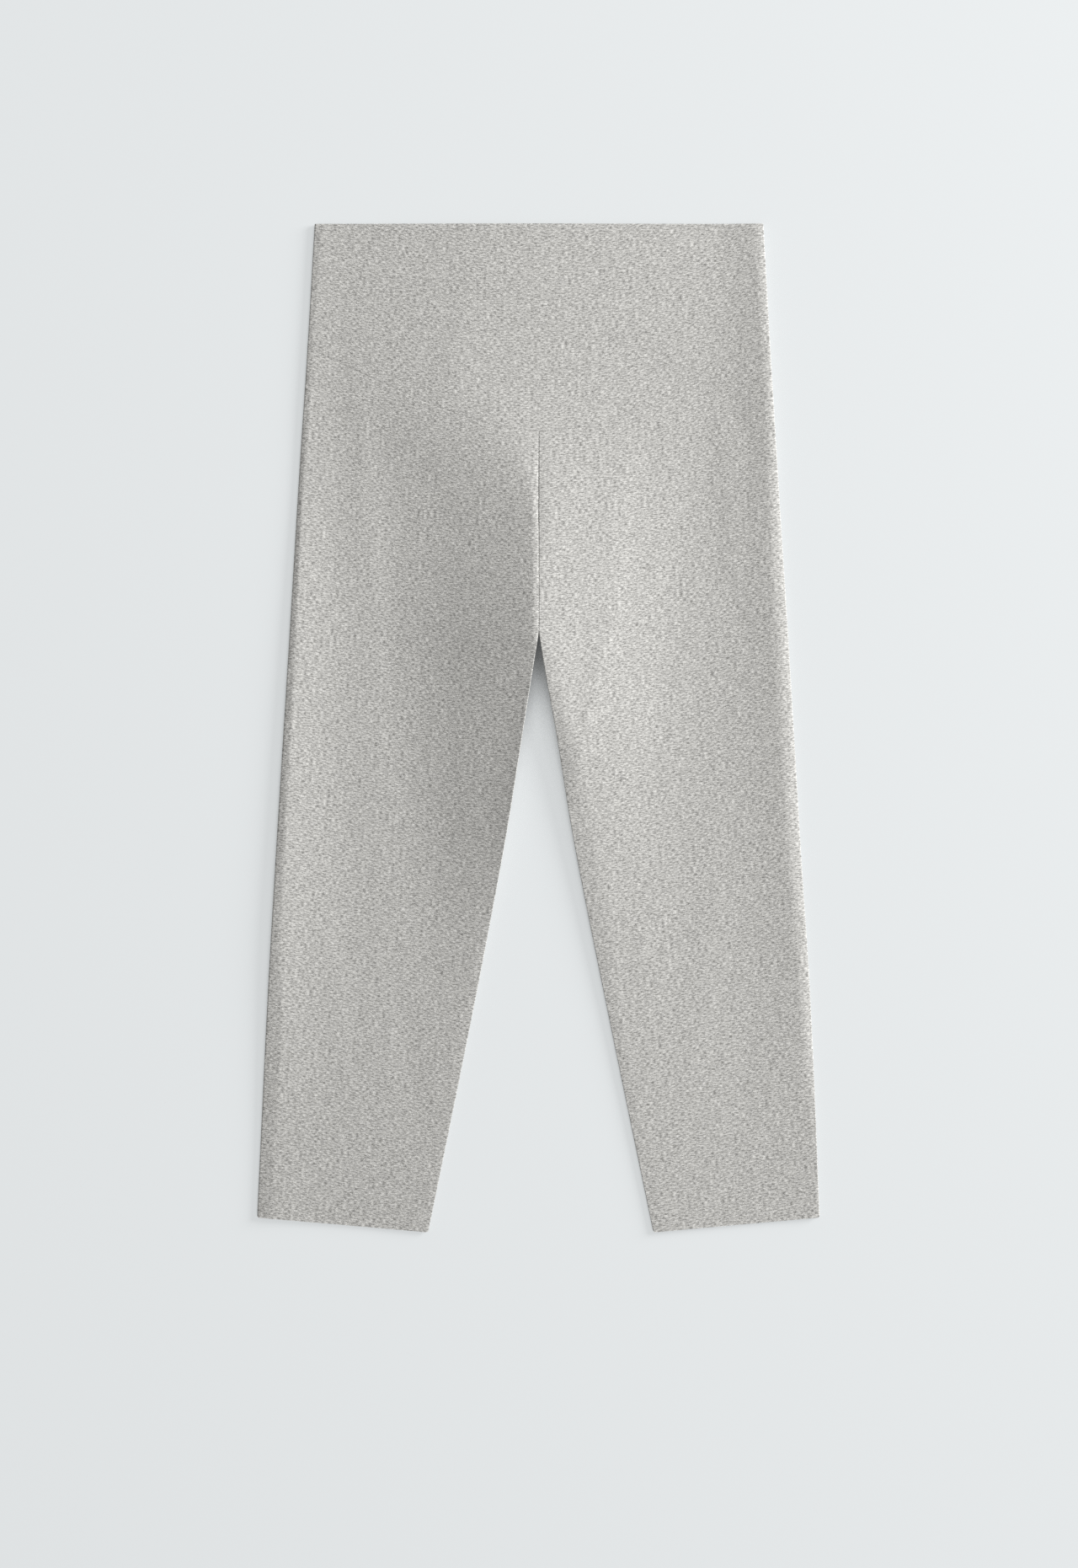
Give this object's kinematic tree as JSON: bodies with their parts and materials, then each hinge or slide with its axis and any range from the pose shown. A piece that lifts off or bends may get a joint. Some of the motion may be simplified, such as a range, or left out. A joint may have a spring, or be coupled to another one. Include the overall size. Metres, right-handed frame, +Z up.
{
  "type": "leggings",
  "caption": "Cropped high-waisted leggings in marl jersey, laid flat: tapered tube legs folded at their outer sides, a centre seam, and a deep waistband with a V-shaped lower seam.",
  "frame": {"origin": "on the table, under the middle of the garment's box", "axes": "+Y runs from the hems to the waist, +X to the right of someone looking down on the front, +Z up off the table"},
  "size_m": [0.4141, 0.7418, 0.0176],
  "materials": {
    "jersey": "grey marl stretch jersey, matt with a soft nap",
    "band_jersey": "the same jersey, in two bonded layers"
  },
  "bodies": {
    "root": {"leg_left": "jersey", "leg_right": "jersey", "waistband_front": "band_jersey", "waistband_back": "band_jersey"}
  },
  "joints": []
}
